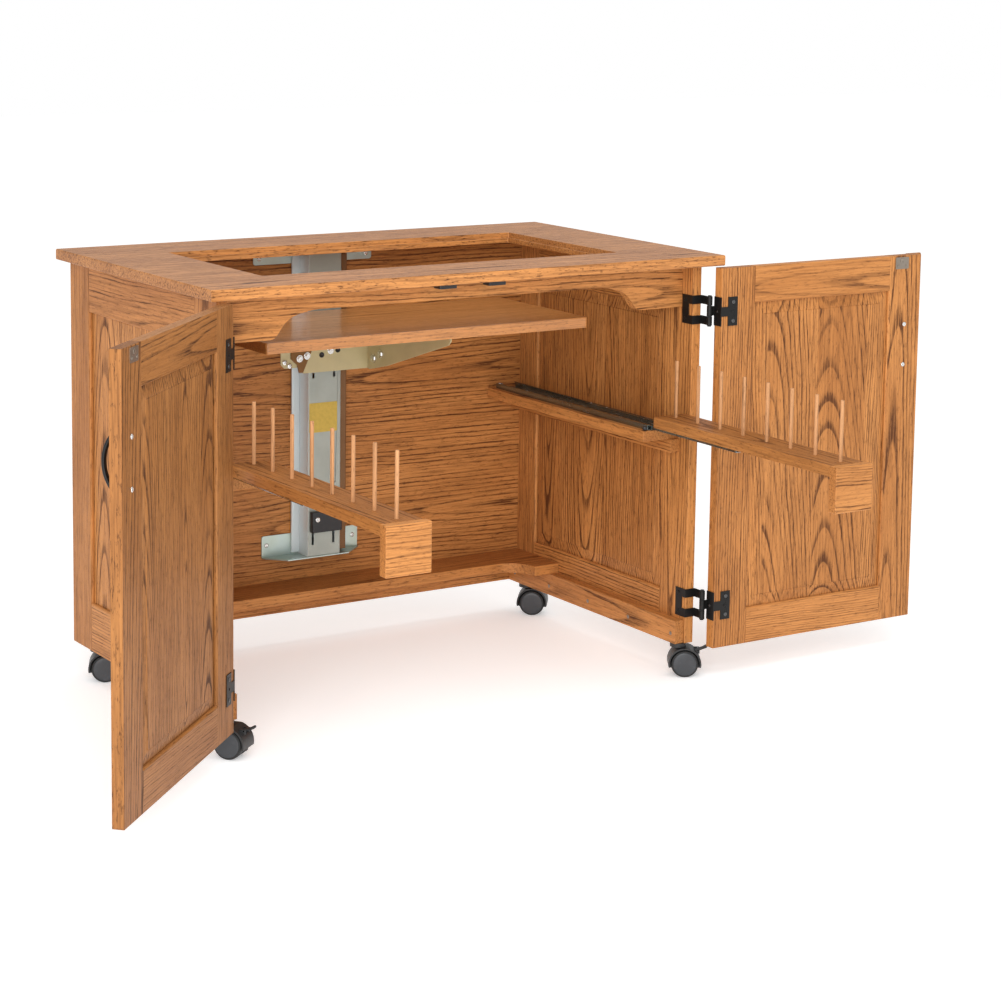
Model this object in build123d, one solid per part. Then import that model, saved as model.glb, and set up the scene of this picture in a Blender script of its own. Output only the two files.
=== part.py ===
"""Oak sewing table on casters.

A wooden cabinet whose top has a machine cut-out, with a lift that carries the machine platform,
two thread racks on ball-bearing slides, two wrap-around hinged doors and four twin-wheel casters.

Frame: millimetres, +X to the right, +Y to the back, +Z up.  The origin is on the floor, under the
centre of the top.  Everything is modelled with the doors open, the racks pulled out and the machine
platform at sewing height.
"""
from build123d import *
import os
from math import cos, radians, sin

# ---------------------------------------------------------------- driving dimensions (mm)
HEIGHT = 775.0          # floor to the top's surface
STOCK = 19.0            # board thickness
TOP_W, TOP_D = 1016.0, 610.0
CUT_X, CUT_Y0, CUT_Y1 = 356.0, -185.0, 167.0     # machine cut-out at the surface
LIP, LIP_DEPTH = 5.0, 10.0                       # rebate that holds the insert panel

CASE_X = 482.0          # outside face of an end panel
CASE_Y0, CASE_Y1 = -271.0, 302.0
CASE_Z0 = 62.0          # underside of the end panels
STILE_W = 80.0
TOP_RAIL_Z, LOW_RAIL_Z = 670.0, 149.0
PANEL_T, GROOVE = 6.4, 9.5
STICK = 2.5             # mitred chamfer round a frame's opening
BEVEL_W, FIELD_STEP, FIELD_DROP = 20.0, 0.8, 1.7   # raised field on the inside of each panel
SEAM_Z = 305.0

APRON_Y, APRON_DEEP_Z, APRON_HIGH_Z = -240.0, 677.0, 722.0
SHELF_Z = 124.0
CLEAT_H = 43.0

DOOR_Z0, DOOR_Z1 = 59.0, 753.0
DOOR_INSET = 9.0        # closed door's hinge edge, in from the end panel's face
DOOR_GAP = 2.5          # closed door's inner face, in front of the case
DOOR_MEET = 1.5         # half the gap between the closed doors
DOOR_STILE, DOOR_RAIL = 76.0, 66.0
LEFT_OPEN, RIGHT_OPEN = 136.2, 180.0

PIN_X, PIN_Y = CASE_X + 1.0, CASE_Y0 - 23.5      # door hinge pins
BARREL_R, HINGE_PIN_R, HINGE_BORE_R = 5.0, 2.5, 2.56
LEAF_T, HINGE_H, WINDOW_H, NECK_H = 1.6, 52.0, 21.0, 17.0
HINGE_ZS = (137.0, 675.0)

PULL_SPAN, PULL_REACH, PULL_OUT, PULL_Z, PULL_IN = 76.2, 52.5, 27.0, 585.0, 37.0

RACK_X = 422.0
RACK_W, RACK_BLOCK_W, RACK_BLOCK_H = 70.0, 78.0, 77.0
RACK_Z = 486.0          # top of the rack boards
RACK_FRONT, RACK_BACK = -767.0, -262.0
DOWEL_R, DOWEL_H, DOWEL_STEP, DOWELS = 3.2, 102.0, 64.0, 8
RAIL_TOP, RAIL_Y0 = 455.0, -235.0
SLIDE_LEN, SLIDE_OUT = 500.0, 498.0

COL_X, COL_Y0, COL_Y1, COL_Z0, COL_Z1 = 35.0, 243.0, 281.0, 174.0, 748.0
PLAT_X, PLAT_Y0, PLAT_Y1, PLAT_Z = 326.0, -143.0, 150.0, 655.0

WHEEL_R, TRAIL, HOOD_R = 25.0, 12.0, 30.0
CASTER_X, CASTER_YF, CASTER_YB = 460.0, -256.0, 243.0
CASTER_TURN = {"fr": 57.0, "fl": 38.0, "br": 52.0, "bl": 64.0}
LEVER_TILT = 12.0

INNER_X = CASE_X - STOCK
BACK_Y = CASE_Y1 - STOCK
UNDER = HEIGHT - STOCK

os.makedirs("parts", exist_ok=True)


# ---------------------------------------------------------------- helpers
def block(x0, x1, y0, y1, z0, z1):
    """A box between two corners."""
    size = (abs(x1 - x0), abs(y1 - y0), abs(z1 - z0))
    return Pos((x0 + x1) / 2, (y0 + y1) / 2, (z0 + z1) / 2) * Box(*size)


def rod(p, q, r):
    """A round bar from p to q."""
    run = Vector(*q) - Vector(*p)
    return Plane(origin=p, z_dir=run) * Cylinder(r, run.length, align=(Align.CENTER, Align.CENTER, Align.MIN))


def plate(points, plane, thick):
    """A flat polygon on a plane, thickened along the plane's normal."""
    return extrude(plane * make_face(Polyline(*points, close=True)), thick)


def mirror_x(shape):
    return mirror(shape, about=Plane.YZ)


def both(shape):
    """The shape and its mirror image, as separate solids."""
    return solids_of(shape) + solids_of(mirror_x(shape))


def solids_of(shape):
    return [s for s in shape.solids()] if not isinstance(shape, list) else shape


def save(name, shape):
    parts = solids_of(shape)
    out = parts[0] if len(parts) == 1 else Compound(children=[Solid(s.wrapped) for s in parts])
    export_step(out, "parts/%s.step" % name)


def ease(shape, axis, radius):
    """Round the edges that run along one axis."""
    return fillet(shape.edges().filter_by(axis), radius)


def turn_door(shape, side):
    """Swing closed-door geometry (built for the right-hand side) to where the door stands."""
    pin = Axis((PIN_X, PIN_Y, 0), (0, 0, 1))
    if side == "right":
        return [s.rotate(pin, RIGHT_OPEN) for s in solids_of(shape)]
    return [mirror_x(s.rotate(pin, LEFT_OPEN)) for s in solids_of(shape)]


# ---------------------------------------------------------------- top
def top_board():
    top = block(-TOP_W / 2, TOP_W / 2, -TOP_D / 2, TOP_D / 2, UNDER, HEIGHT)
    rim = top.faces().sort_by(Axis.Z)[-1].edges()
    top = fillet(rim, 2.5)
    top = chamfer(top.faces().sort_by(Axis.Z)[0].outer_wire().edges(), 1.2)
    top -= ease(block(-CUT_X, CUT_X, CUT_Y0, CUT_Y1, HEIGHT - LIP_DEPTH, HEIGHT + 5), Axis.Z, 4)
    hole = block(-CUT_X + LIP, CUT_X - LIP, CUT_Y0 + LIP, CUT_Y1 - LIP, UNDER - 5, HEIGHT)
    return top - ease(hole, Axis.Z, 4)


save("top_board", top_board())


# ---------------------------------------------------------------- end frames and panels
def opening_bevel(plane, w, h):
    """Cutter that chamfers a frame's opening, on the frame face that the plane lies on."""
    return loft([plane.offset(-STICK) * Rectangle(w, h), plane * Rectangle(w + 2 * STICK, h + 2 * STICK)])


def raised_field(plane, w, h):
    """Sloping borders, a small step and a flat field, on the side of a panel that the plane faces."""
    top = plane.offset(STOCK / 2 - FIELD_DROP - FIELD_STEP)
    crown = top * Rectangle(w - 2 * BEVEL_W, h - 2 * BEVEL_W)
    slopes = loft([plane.offset(PANEL_T / 2 - 0.2) * Rectangle(w, h), crown])
    return slopes + extrude(top * Rectangle(w - 2 * BEVEL_W, h - 2 * BEVEL_W), FIELD_STEP)


def end_parts():
    """Stiles, rails and floating panel of the right-hand end."""
    mid_x = CASE_X - STOCK / 2
    gx0, gx1 = mid_x - PANEL_T / 2, mid_x + PANEL_T / 2
    y0, y1 = CASE_Y0 + STILE_W, CASE_Y1 - STILE_W
    slot = block(gx0, gx1, y0 - GROOVE, y1 + GROOVE, LOW_RAIL_Z - GROOVE, TOP_RAIL_Z + GROOVE)
    front = block(INNER_X, CASE_X, CASE_Y0, y0, CASE_Z0, UNDER)
    front = chamfer(front.edges().filter_by(Axis.Z).sort_by(Axis.Y)[:2], 1.0)
    rear = block(INNER_X, CASE_X, y1, CASE_Y1, CASE_Z0, UNDER)
    low = block(INNER_X, CASE_X, y0, y1, CASE_Z0, LOW_RAIL_Z)
    high = block(INNER_X, CASE_X, y0, y1, TOP_RAIL_Z, UNDER)
    cy, cz, w, h = (y0 + y1) / 2, (LOW_RAIL_Z + TOP_RAIL_Z) / 2, y1 - y0, TOP_RAIL_Z - LOW_RAIL_Z
    outside = Plane(origin=(CASE_X, cy, cz), x_dir=(0, 1, 0), z_dir=(1, 0, 0))
    inside = Plane(origin=(INNER_X, cy, cz), x_dir=(0, 1, 0), z_dir=(-1, 0, 0))
    bevels = [opening_bevel(outside, w, h), opening_bevel(inside, w, h)]
    stiles = [front - slot - bevels, rear - slot - bevels]
    rails = [low - slot - bevels, high - slot - bevels]
    c = 0.2
    panel = block(gx0 + c, gx1 - c, y0 - GROOVE + 1, y1 + GROOVE - 1,
                  LOW_RAIL_Z - GROOVE + 1, TOP_RAIL_Z + GROOVE - 1)
    panel += raised_field(inside.offset(-STOCK / 2), w - 3, h - 3)
    return stiles, rails, panel


stiles, rails, panel = end_parts()
save("end_stiles_right", stiles)
save("end_rails_right", rails)
save("end_panel_right", panel)
save("end_stiles_left", [mirror_x(s) for s in stiles])
save("end_rails_left", [mirror_x(s) for s in rails])
save("end_panel_left", mirror_x(panel))


# ---------------------------------------------------------------- back, apron, shelf, cleats
def tongue(z0, z1):
    return block(-INNER_X, INNER_X, BACK_Y + 6.5, BACK_Y + 12.5, z0, z1)


save("back_board_lower", block(-INNER_X, INNER_X, BACK_Y, CASE_Y1, CASE_Z0, SEAM_Z) + tongue(SEAM_Z, SEAM_Z + 6))
save("back_board_upper", block(-INNER_X, INNER_X, BACK_Y, CASE_Y1, SEAM_Z, UNDER) - tongue(SEAM_Z, SEAM_Z + 6))


def apron():
    """Front rail: deep at both ends, with an S-curve up to a raised middle."""
    deep, high = APRON_DEEP_Z, APRON_HIGH_Z
    swing = [(372, deep), (354, deep + 11), (338, deep + 30), (314, high - 5), (280, high)]
    right = Spline(*swing, tangents=[(-1, 0.05), (-1, 0.02)])
    left = Spline(*[(-x, z) for x, z in reversed(swing)], tangents=[(-1, -0.02), (-1, -0.05)])
    outline = [
        Line((-INNER_X, UNDER), (INNER_X, UNDER)),
        Line((INNER_X, UNDER), (INNER_X, deep)),
        Line((INNER_X, deep), swing[0]),
        right,
        Line(swing[-1], (-280, high)),
        left,
        Line((-372, deep), (-INNER_X, deep)),
        Line((-INNER_X, deep), (-INNER_X, UNDER)),
    ]
    face = make_face([Plane.XZ * e for e in outline])
    return Pos(0, APRON_Y + STOCK, 0) * extrude(face, amount=STOCK, dir=(0, -1, 0))


save("apron_front", apron())


def shelf():
    """Bottom shelf: shallow in the middle, with a deeper ear and a cove at each end."""
    ear_x, ear_y, mid_y, cove = 407.0, 136.0, 190.0, 54.0
    k = cove * sin(radians(45))
    cx, cy = ear_x - cove, ear_y
    outline = [
        Line((-INNER_X, BACK_Y), (INNER_X, BACK_Y)),
        Line((INNER_X, BACK_Y), (INNER_X, ear_y)),
        Line((INNER_X, ear_y), (ear_x, ear_y)),
        ThreePointArc((ear_x, ear_y), (cx + k, cy + k), (cx, mid_y)),
        Line((cx, mid_y), (-cx, mid_y)),
        ThreePointArc((-cx, mid_y), (-cx - k, cy + k), (-ear_x, ear_y)),
        Line((-ear_x, ear_y), (-INNER_X, ear_y)),
        Line((-INNER_X, ear_y), (-INNER_X, BACK_Y)),
    ]
    face = make_face(outline)
    return Pos(0, 0, SHELF_Z - STOCK) * extrude(face, amount=STOCK, dir=(0, 0, 1))


save("bottom_shelf", shelf())

RAIL_Z0 = RAIL_TOP - STOCK
cleats = [
    block(INNER_X - STOCK, INNER_X, CASE_Y0 + 4, BACK_Y, CASE_Z0, CASE_Z0 + CLEAT_H),
    block(INNER_X - STOCK, INNER_X, RAIL_Y0 - 6, BACK_Y, RAIL_Z0 - 25, RAIL_Z0),
    block(INNER_X - STOCK, INNER_X, APRON_Y + STOCK, BACK_Y, UNDER - STOCK, UNDER),
]
save("case_cleats", [s for c in cleats for s in both(c)])
rail = block(INNER_X - 76, INNER_X, RAIL_Y0, BACK_Y, RAIL_Z0, RAIL_TOP)
save("rack_rails", both(ease(rail, Axis.Z, 1.5)))


# ---------------------------------------------------------------- thread racks
def rack_parts():
    """Board, end block and dowels of the right-hand rack, pulled out."""
    x0, x1 = RACK_X - RACK_W / 2, RACK_X + RACK_W / 2
    y_block = RACK_FRONT + 18
    board = ease(block(x0, x1, y_block, RACK_BACK, RACK_Z - STOCK, RACK_Z), Axis.Z, 4)
    board = chamfer(board.faces().sort_by(Axis.Z)[-1].edges(), 0.8)
    pegs = []
    for i in range(DOWELS):
        y = RACK_FRONT + 36 + DOWEL_STEP * i
        board -= rod((RACK_X, y, RACK_Z - 14), (RACK_X, y, RACK_Z + 5), DOWEL_R + 0.05)
        peg = rod((RACK_X, y, RACK_Z - 14), (RACK_X, y, RACK_Z + DOWEL_H), DOWEL_R)
        pegs.append(chamfer(peg.faces().sort_by(Axis.Z)[-1].edges(), 0.7))
    bx0, bx1 = RACK_X - RACK_BLOCK_W / 2, RACK_X + RACK_BLOCK_W / 2
    end = block(bx0, bx1, RACK_FRONT, y_block, RACK_Z - RACK_BLOCK_H, RACK_Z)
    return board, chamfer(end.edges(), 1.0), pegs


def slide_parts():
    """Fixed, middle and moving members of the right-hand slide, lying flat on its rail."""
    z, x, t = RAIL_TOP, RACK_X, 1.2
    y0, y1 = RAIL_Y0 + 5, RAIL_Y0 + 5 + SLIDE_LEN
    fixed = block(x - 22.8, x + 22.8, y0, y1, z, z + t)
    middle = block(x - 17.6, x + 17.6, y0, y1, z + 2.6, z + 2.6 + t)
    moving = block(x - 12.6, x + 12.6, y0, y1, z + 12 - t, z + 12)
    for s in (-1, 1):
        fixed += block(x + s * 21.6, x + s * 22.8, y0, y1, z, z + 9.6)
        fixed += block(x + s * 19.0, x + s * 22.8, y0, y1, z + 8.4, z + 9.6)
        middle += block(x + s * 16.4, x + s * 17.6, y0, y1, z + 2.6, z + 9.0)
        middle += block(x + s * 14.2, x + s * 17.6, y0, y1, z + 7.8, z + 9.0)
        moving += block(x + s * 11.4, x + s * 12.6, y0, y1, z + 4.8, z + 12)
    for y in (y0 + 35, y0 + 160, y1 - 130, y1 - 30):
        fixed -= rod((x, y, z - 1), (x, y, z + 2), 2.4)
    for y in (y0 + 12, y1 - 12):
        middle += block(x - 5, x + 5, y - 4, y + 4, z + 3.8, z + 4.6)
    return fixed, Pos(0, -SLIDE_OUT / 2, 0) * middle, Pos(0, -SLIDE_OUT, 0) * moving


board, end_block, pegs = rack_parts()
fixed, middle, moving = slide_parts()
save("slide_channels", both(fixed))
for side, flip in (("right", lambda s: s), ("left", mirror_x)):
    save("slide_middle_" + side, flip(middle))
    save("slide_inner_" + side, flip(moving))
    save("rack_board_" + side, flip(board))
    save("rack_block_" + side, flip(end_block))
    save("rack_dowels_" + side, [flip(p) for p in pegs])


# ---------------------------------------------------------------- machine lift
def lift_column():
    """Galvanised channel with its open side to the back, slotted for the stops."""
    col = block(-COL_X, COL_X, COL_Y0, COL_Y1, COL_Z0, COL_Z1)
    col = fillet(col.edges().filter_by(Axis.Z).sort_by(Axis.Y)[:2], 2.5)
    col -= block(-COL_X + 2, COL_X - 2, COL_Y0 + 2, COL_Y1 + 5, COL_Z0 - 1, COL_Z1 + 1)
    for x, z0, z1 in ((-24, 196, 224), (20, 196, 224), (-24, 513, 523), (20, 513, 523)):
        col -= block(x - 2.5, x + 2.5, COL_Y0 - 1, COL_Y0 + 3, z0, z1)
    return col - rod((20, COL_Y0 - 1, 312), (20, COL_Y0 + 3, 312), 3)


save("lift_column", lift_column())


def lift_guide():
    """Bronze-finished strip on the column's left and the spring housing on its right."""
    strip = block(-51, -COL_X - 0.1, 277, COL_Y1, COL_Z0 + 4, COL_Z1 - 6)
    housing = block(COL_X + 0.1, 54, 256, COL_Y1, COL_Z0 + 4, COL_Z1 - 6)
    housing = fillet(housing.edges().filter_by(Axis.Z).sort_by(Axis.Y)[:2], 2)
    housing -= block(COL_X + 1.6, 52.5, 257.5, COL_Y1 + 1, COL_Z0, COL_Z1)
    return [strip, housing]


save("lift_guide", lift_guide())


def lift_brackets():
    """Top cross plate, and the base plate with its foot flange."""
    top = ease(block(-130, 120, COL_Y1, BACK_Y, 726, COL_Z1), Axis.Y, 5)
    base = ease(block(-112, 93, COL_Y1, BACK_Y, COL_Z0 - 2, 214), Axis.Y, 4)
    foot = [(-112, BACK_Y), (-112, 276), (-78, 240), (52, 240), (93, 276), (93, BACK_Y)]
    base += plate(foot, Plane.XY.offset(COL_Z0 - 2), 2)
    for x in (-118, 108):
        top -= rod((x, COL_Y1 - 1, 737), (x, BACK_Y + 1, 737), 2.6)
    for x in (-102, 82):
        base -= rod((x, COL_Y1 - 1, 196), (x, BACK_Y + 1, 196), 2.6)
    return top, base


top_bracket, base_bracket = lift_brackets()
save("lift_top_bracket", top_bracket)
save("lift_base_bracket", base_bracket)
save("lift_stop", chamfer(block(-31, 33, 231, COL_Y0, 221, 260).edges().filter_by(Axis.Z), 2))

WEB_Z = PLAT_Z - STOCK


def carriage_beam():
    """Cross plate with cheeks around the column and a flange under the platform."""
    pts = [(-66, 531), (70, 531), (70, WEB_Z - 2.5), (-113, WEB_Z - 2.5), (-113, 551), (-105, 543), (-74, 543)]
    face = plate(pts, Plane.XZ.offset(-207.5), 2.5)
    for x, z in ((-28, 563), (6, 570)):
        face -= rod((x, 204, z), (x, 209, z), 4)
    for x0, x1 in ((-39.2, -36.7), (56, 58.5)):
        face += block(x0, x1, 207.5, 270, 545, 620)
    face += block(-113, 70, 140, 207.5, WEB_Z - 5, WEB_Z - 2.5)
    face += block(-113, 70, 100, 155, WEB_Z - 2.5, WEB_Z)
    return face + block(-113, -84, -60, 155, WEB_Z - 2.5, WEB_Z)


def carriage_arm():
    """Tapered side arm that reaches forward under the platform."""
    pts = [(207.5, 531), (198, 530), (135, 545), (-78, 613), (-86, 621), (-86, WEB_Z),
           (155, WEB_Z), (155, WEB_Z - 5), (207.5, WEB_Z - 5)]
    arm = plate(pts, Plane.YZ.offset(70), 2.5)
    return arm + block(72.5, 94, -86, 150, WEB_Z - 2.5, WEB_Z)


def carriage_bracket():
    """Y-shaped bronze latch plate on the beam's left end."""
    top = WEB_Z - 6
    pts = [(-93, top), (-93, 560), (-80, 548), (-76, 533), (-68, 533), (-50, 572), (-50, top)]
    return plate(pts, Plane.XZ.offset(-205), 2.5)


save("carriage_beam", carriage_beam())
save("carriage_arm", carriage_arm())
save("carriage_bracket", carriage_bracket())
platform = block(-PLAT_X, PLAT_X, PLAT_Y0, PLAT_Y1, WEB_Z, PLAT_Z)
save("lift_platform", chamfer(ease(platform, Axis.Z, 6).faces().sort_by(Axis.Z)[-1].edges(), 1.2))


# ---------------------------------------------------------------- doors
D_IN, D_OUT = CASE_Y0 - DOOR_GAP, CASE_Y0 - DOOR_GAP - STOCK
D_HINGE, D_FREE = CASE_X - DOOR_INSET, DOOR_MEET


def door_parts():
    """Closed right-hand door: stiles, rails and raised panel."""
    mid = (D_IN + D_OUT) / 2
    x0, x1 = D_FREE + DOOR_STILE, D_HINGE - DOOR_STILE
    z0, z1 = DOOR_Z0 + DOOR_RAIL, DOOR_Z1 - DOOR_RAIL
    slot = block(x0 - GROOVE, x1 + GROOVE, mid - PANEL_T / 2, mid + PANEL_T / 2, z0 - GROOVE, z1 + GROOVE)
    cx, cz, w, h = (x0 + x1) / 2, (z0 + z1) / 2, x1 - x0, z1 - z0
    outside = Plane(origin=(cx, D_OUT, cz), x_dir=(1, 0, 0), z_dir=(0, -1, 0))
    inside = Plane(origin=(cx, D_IN, cz), x_dir=(1, 0, 0), z_dir=(0, 1, 0))
    bevels = [opening_bevel(outside, w, h), opening_bevel(inside, w, h)]
    free = block(D_FREE, x0, D_OUT, D_IN, DOOR_Z0, DOOR_Z1) - slot - bevels
    hung = block(x1, D_HINGE, D_OUT, D_IN, DOOR_Z0, DOOR_Z1) - slot - bevels
    low = block(x0, x1, D_OUT, D_IN, DOOR_Z0, z0) - slot - bevels
    high = block(x0, x1, D_OUT, D_IN, z1, DOOR_Z1) - slot - bevels
    c = 0.2
    panel = block(x0 - GROOVE + 1, x1 + GROOVE - 1, mid - PANEL_T / 2 + c, mid + PANEL_T / 2 - c,
                  z0 - GROOVE + 1, z1 + GROOVE - 1)
    panel += raised_field(inside.offset(-STOCK / 2), w - 3, h - 3)
    return [free, hung], [low, high], panel


def door_pull():
    """Arched pull on the outer face, with two screws through the stile."""
    x = D_FREE + PULL_IN
    z0, z1 = PULL_Z - PULL_SPAN / 2, PULL_Z + PULL_SPAN / 2
    tip = D_OUT - PULL_OUT + 4
    path = ThreePointArc((x, D_OUT, PULL_Z - PULL_REACH), (x, tip, PULL_Z), (x, D_OUT, PULL_Z + PULL_REACH))
    section = Plane(origin=path @ 0, z_dir=path % 0) * Rectangle(9, 6)
    bow = sweep(section, path=path)
    bow = bow & block(x - 20, x + 20, D_OUT - 60, D_OUT, z0 - 40, z1 + 40)
    screws = []
    for z in (z0, z1):
        bow += rod((x, D_OUT, z), (x, D_OUT - 12, z), 4.2)
        screws.append(chamfer(rod((x, D_IN, z), (x, D_IN + 2, z), 4).faces().sort_by(Axis.Y)[-1].edges(), 0.9))
    return [bow] + screws


def door_leaf(zc):
    """Door half of a wrap-around hinge: T-plate inside, edge plate, arm and middle knuckle."""
    h = HINGE_H / 2
    t = LEAF_T
    leaf = block(D_HINGE, D_HINGE + t, D_OUT, D_IN + t, zc - h, zc + h)
    leaf += block(D_HINGE - 16, D_HINGE + t, D_IN, D_IN + t, zc - NECK_H / 2, zc + NECK_H / 2)
    leaf += block(D_HINGE - 36, D_HINGE - 15, D_IN, D_IN + t, zc - h, zc + h)
    leaf += block(D_HINGE, PIN_X, D_OUT - t, D_OUT, zc - 8.5, zc + 8.5)
    leaf += rod((PIN_X, PIN_Y, zc - 9.4), (PIN_X, PIN_Y, zc + 9.4), BARREL_R)
    leaf -= rod((PIN_X, PIN_Y, zc - 12), (PIN_X, PIN_Y, zc + 12), HINGE_BORE_R)
    for z in (zc - 17, zc + 17):
        leaf -= rod((D_HINGE - 26, D_IN - 1, z), (D_HINGE - 26, D_IN + t + 1, z), 2)
    return leaf


def frame_leaf(zc):
    """Case half: plate inside the stile, two straps round its front edge, outer knuckles and pin."""
    h, w, t = HINGE_H / 2, WINDOW_H / 2, LEAF_T
    leaf = block(INNER_X - t, INNER_X, CASE_Y0 - t, CASE_Y0 + 28, zc - h, zc + h)
    leaf -= block(INNER_X - t - 1, INNER_X + 1, CASE_Y0 - 5, CASE_Y0 + 10, zc - w, zc + w)
    for s in (-1, 1):
        a, b = zc + s * w, zc + s * h
        leaf += block(INNER_X - t, CASE_X + t, CASE_Y0 - t, CASE_Y0, a, b)
        leaf += block(CASE_X, CASE_X + t, PIN_Y + 1, CASE_Y0, a, b)
        leaf += rod((PIN_X, PIN_Y, a), (PIN_X, PIN_Y, b), BARREL_R)
        leaf += rod((PIN_X, PIN_Y, b), (PIN_X, PIN_Y, b + s * 2), 3.4)
    leaf += rod((PIN_X, PIN_Y, zc - h), (PIN_X, PIN_Y, zc + h), HINGE_PIN_R)
    for s in (-1, 1):
        leaf -= rod((INNER_X - 4, CASE_Y0 + 19, zc + s * 17), (INNER_X + 1, CASE_Y0 + 19, zc + s * 17), 2)
    return leaf


def strike():
    """Steel catch plate inside the top free corner of a door."""
    x = D_HINGE - 424
    return ease(block(x - 16, x + 16, D_IN, D_IN + 1.2, 728, 750), Axis.Y, 2)


def astragal():
    """Strip on the outer face of the right-hand door that laps over the left one."""
    strip = block(D_FREE - 17, D_FREE + 18, D_OUT - 6.5, D_OUT, DOOR_Z0, DOOR_Z1)
    strip -= block(D_FREE - 20, D_FREE, D_OUT - 0.8, D_OUT + 1, DOOR_Z0 - 1, DOOR_Z1 + 1)
    return chamfer(strip.faces().sort_by(Axis.Y)[0].edges(), 1.5)


d_stiles, d_rails, d_panel = door_parts()
for side in ("left", "right"):
    save("door_stiles_" + side, turn_door(d_stiles, side))
    save("door_rails_" + side, turn_door(d_rails, side))
    save("door_panel_" + side, turn_door(d_panel, side))
    save("door_pull_" + side, turn_door(door_pull(), side))
    save("door_strike_" + side, turn_door(strike(), side))
    save("hinge_leaves_" + side, turn_door([s for z in HINGE_ZS for s in solids_of(door_leaf(z))], side))
save("door_astragal", turn_door(astragal(), "right"))
save("hinge_frame_leaves", [s for z in HINGE_ZS for s in both(frame_leaf(z))])
catch = chamfer(block(32, 66, -269, -247, 744.5, UNDER).edges().filter_by(Axis.Z), 1.5)
save("magnetic_catches", both(catch))


# ---------------------------------------------------------------- case screws
def screw(p, direction, r=4.2, h=1.4):
    """A low round head standing on a surface."""
    q = Vector(*p) + Vector(*direction) * h
    head = rod(p, (q.X, q.Y, q.Z), r)
    edge = head.faces().sort_by(Axis(p, direction))[-1].edges()
    return chamfer(edge, 0.6)


def case_screws():
    heads = []
    for x in (-118, 108):
        heads.append(screw((x, COL_Y1, 737), (0, -1, 0)))
    for x in (-102, 82):
        heads.append(screw((x, COL_Y1, 196), (0, -1, 0)))
    heads.append(screw((-20, 231, 246), (0, -1, 0)))
    for y in (-254, -122, 9, 140, 262):
        for s in (-1, 1):
            heads.append(screw((s * (INNER_X - STOCK), y, 80), (-s, 0, 0)))
    for z in HINGE_ZS:
        for dz in (-17, 17):
            for s in (-1, 1):
                heads.append(screw((s * (INNER_X - LEAF_T), CASE_Y0 + 19, z + dz), (-s, 0, 0), 3.4, 0.9))
    return heads


save("case_screws", case_screws())


# ---------------------------------------------------------------- casters
def caster_plate():
    """Fixed top disc with the bore that takes the hood's stem."""
    disc = Pos(0, 0, 54.6) * Cylinder(15, CASE_Z0 - 54.6, align=(Align.CENTER, Align.CENTER, Align.MIN))
    return disc - Pos(0, 0, 50) * Cylinder(4.05, 11, align=(Align.CENTER, Align.CENTER, Align.MIN))


def caster_hood(brake):
    """Arched fender over both wheels, with the centre web, stem and, on a braked one, lever lugs."""
    y = -TRAIL
    keep = block(-40, 40, y - 40, y + 40, 19, 54)
    shell = rod((-21, y, WHEEL_R), (21, y, WHEEL_R), HOOD_R)
    shell -= rod((-22, y, WHEEL_R), (22, y, WHEEL_R), HOOD_R - 2.8)
    web = rod((-2.6, y, WHEEL_R), (2.6, y, WHEEL_R), HOOD_R - 1)
    hood = (shell & keep) + (web & block(-40, 40, y - 40, y + 40, 14, 54))
    hood += rod((0, 0, 46), (0, 0, 54), 11) & rod((-21, y, WHEEL_R), (21, y, WHEEL_R), HOOD_R - 0.5)
    hood -= rod((2.7, y, WHEEL_R), (30, y, WHEEL_R), HOOD_R - 2.9)
    hood -= rod((-2.7, y, WHEEL_R), (-30, y, WHEEL_R), HOOD_R - 2.9)
    hood += rod((0, 0, 50), (0, 0, 60.6), 4) - rod((-21, y, WHEEL_R), (21, y, WHEEL_R), HOOD_R - 2.9)
    if brake:
        py, pz = lever_pivot()
        for s in (-1, 1):
            lug = block(s * 6.6, s * 9.4, py - 2.6, py + 7, pz - 6, pz + 2.4)
            lug -= rod((-30, y, WHEEL_R), (30, y, WHEEL_R), HOOD_R - 1)
            hood += lug
        hood -= rod((-12, py, pz), (12, py, pz), 1.56)
    return hood - rod((-10, y, WHEEL_R), (10, y, WHEEL_R), 3.06)


def lever_pivot():
    a = radians(44)
    return -TRAIL - 34.2 * cos(a), WHEEL_R + 34.2 * sin(a)


def caster_wheels():
    """Two discs on one axle."""
    y = -TRAIL
    out = rod((-18, y, WHEEL_R), (18, y, WHEEL_R), 3)
    for s in (-1, 1):
        disc = rod((s * 3.2, y, WHEEL_R), (s * 20.2, y, WHEEL_R), WHEEL_R)
        disc = fillet(disc.edges().filter_by(GeomType.CIRCLE), 1.6)
        out += disc - rod((s * 19.2, y, WHEEL_R), (s * 22, y, WHEEL_R), 20.5)
    return out


def brake_lever():
    """Foot tab that pivots in the hood's lugs."""
    py, pz = lever_pivot()
    tab = rod((-6, py, pz), (6, py, pz), 3.2)
    tab += block(-6, 6, py - 13, py, pz - 1.2, pz + 2.6)
    tab += block(-8, 8, py - 17, py - 7, pz - 1.6, pz + 3.2)
    tab = tab.rotate(Axis((0, py, pz), (1, 0, 0)), -LEVER_TILT)
    return tab + rod((-9.3, py, pz), (9.3, py, pz), 1.5)


plates = []
for key, sx, y in (("fr", 1, CASTER_YF), ("fl", -1, CASTER_YF), ("br", 1, CASTER_YB), ("bl", -1, CASTER_YB)):
    place = Pos(sx * CASTER_X, y, 0) * Rot(0, 0, CASTER_TURN[key])
    plates += solids_of(place * caster_plate())
    save("caster_hood_" + key, place * caster_hood(key[0] == "f"))
    save("caster_wheels_" + key, place * caster_wheels())
    if key[0] == "f":
        save("brake_lever_" + key, place * brake_lever())
save("caster_plates", plates)
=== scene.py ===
"""Finishes and small hardware for the oak sewing table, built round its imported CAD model."""

import math

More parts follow.
